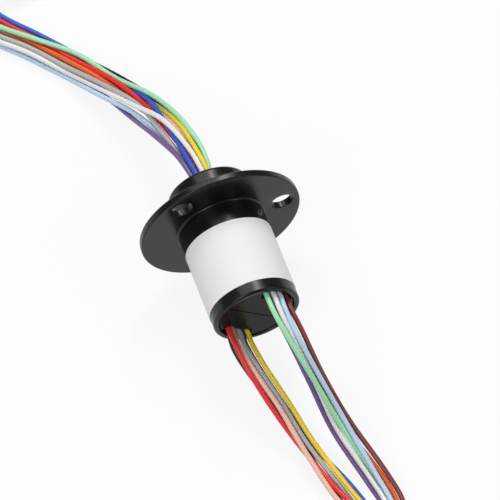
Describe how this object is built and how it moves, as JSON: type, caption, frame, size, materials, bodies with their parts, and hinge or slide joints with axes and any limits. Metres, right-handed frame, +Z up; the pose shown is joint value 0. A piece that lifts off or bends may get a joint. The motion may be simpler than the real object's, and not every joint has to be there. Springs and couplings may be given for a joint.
{
  "type": "slip ring",
  "caption": "Capsule slip ring: black flanged housing with a plain white label, a rotor in ball bearings and coloured leads from both ends.",
  "frame": {"origin": "centre of the flange's mounting face, which is its face towards the body, on the rotation axis", "axes": "-Y out of the mounting face, along the body to the stator's lead end; +Y to the rotor's lead end; +Z up, away from the surface that the flange's edge stands on; +X to the right as seen from the stator's lead end"},
  "size_m": [0.0613, 0.2528, 0.041],
  "materials": {
    "housing_plastic": "glossy black moulding",
    "label_paper": "plain white wrap label, semi-gloss",
    "carrier_plastic": "matt",
    "bearing_steel": "ground",
    "ball_steel": "polished",
    "cage_brass": "drilled",
    "board_laminate": "solder-masked glass-fibre board",
    "brush_gold": "gold alloy wire, bright",
    "rotor_plastic": "satin moulding",
    "potting_resin": "cast resin",
    "ring_gold": "gold-plated, turned",
    "circlip_steel": "phosphated spring steel",
    "coil_pvc": "wound leads",
    "tie_plastic": "nylon tie",
    "lead_black": "PVC insulation",
    "lead_brown": "PVC insulation",
    "lead_red": "PVC insulation",
    "lead_orange": "PVC insulation",
    "lead_yellow": "PVC insulation",
    "lead_green": "PVC insulation",
    "lead_blue": "PVC insulation",
    "lead_purple": "PVC insulation",
    "lead_grey": "PVC insulation",
    "lead_white": "PVC insulation",
    "lead_pink": "PVC insulation",
    "lead_light_blue": "PVC insulation"
  },
  "bodies": {
    "stator": {"housing": "housing_plastic", "label": "label_paper", "end_plug_a": "housing_plastic", "end_plug_b": "housing_plastic", "rear_bearing_carrier": "carrier_plastic", "front_bearing_outer_ring": "bearing_steel", "rear_bearing_outer_ring": "bearing_steel", "brush_board_a": "board_laminate", "brush_board_b": "board_laminate", "brush_wires_a": "brush_gold", "brush_wires_b": "brush_gold", "stator_lead_coil": "coil_pvc", "stator_lead_tie": "tie_plastic", "stator_lead_red": "lead_red", "stator_lead_pink": "lead_pink", "stator_lead_grey": "lead_grey", "stator_lead_yellow": "lead_yellow", "stator_lead_black": "lead_black", "stator_lead_blue": "lead_blue", "stator_lead_green": "lead_green", "stator_lead_white": "lead_white", "stator_lead_light_blue": "lead_light_blue", "stator_lead_brown": "lead_brown", "stator_lead_purple": "lead_purple", "stator_lead_orange": "lead_orange"},
    "rotor": {"rotor_core": "rotor_plastic", "rotor_potting": "potting_resin", "slip_rings": "ring_gold", "circlip": "circlip_steel", "front_bearing_inner_ring": "bearing_steel", "rear_bearing_inner_ring": "bearing_steel", "rotor_lead_coil": "coil_pvc", "rotor_lead_tie": "tie_plastic", "rotor_lead_green": "lead_green", "rotor_lead_yellow": "lead_yellow", "rotor_lead_white": "lead_white", "rotor_lead_blue": "lead_blue", "rotor_lead_purple": "lead_purple", "rotor_lead_grey": "lead_grey", "rotor_lead_light_blue": "lead_light_blue", "rotor_lead_brown": "lead_brown", "rotor_lead_black": "lead_black", "rotor_lead_pink": "lead_pink", "rotor_lead_red": "lead_red", "rotor_lead_orange": "lead_orange"},
    "front_ball_cage": {"front_bearing_balls": "ball_steel", "front_bearing_cage": "cage_brass"},
    "rear_ball_cage": {"rear_bearing_balls": "ball_steel", "rear_bearing_cage": "cage_brass"}
  },
  "joints": [
    {"name": "rotor_spin", "type": "hinge", "parent": "stator", "child": "rotor", "pos_m": [0, 0, 0], "axis": [0, 1, 0], "continuous": true},
    {"name": "front_cage_spin", "type": "hinge", "parent": "stator", "child": "front_ball_cage", "pos_m": [0, 0, 0], "axis": [0, 1, 0], "continuous": true},
    {"name": "rear_cage_spin", "type": "hinge", "parent": "stator", "child": "rear_ball_cage", "pos_m": [0, 0, 0], "axis": [0, 1, 0], "continuous": true}
  ],
  "couplings": [
    {"joint": "front_cage_spin", "follows": "rotor_spin", "ratio": 0.4083},
    {"joint": "rear_cage_spin", "follows": "rotor_spin", "ratio": 0.3875}
  ]
}
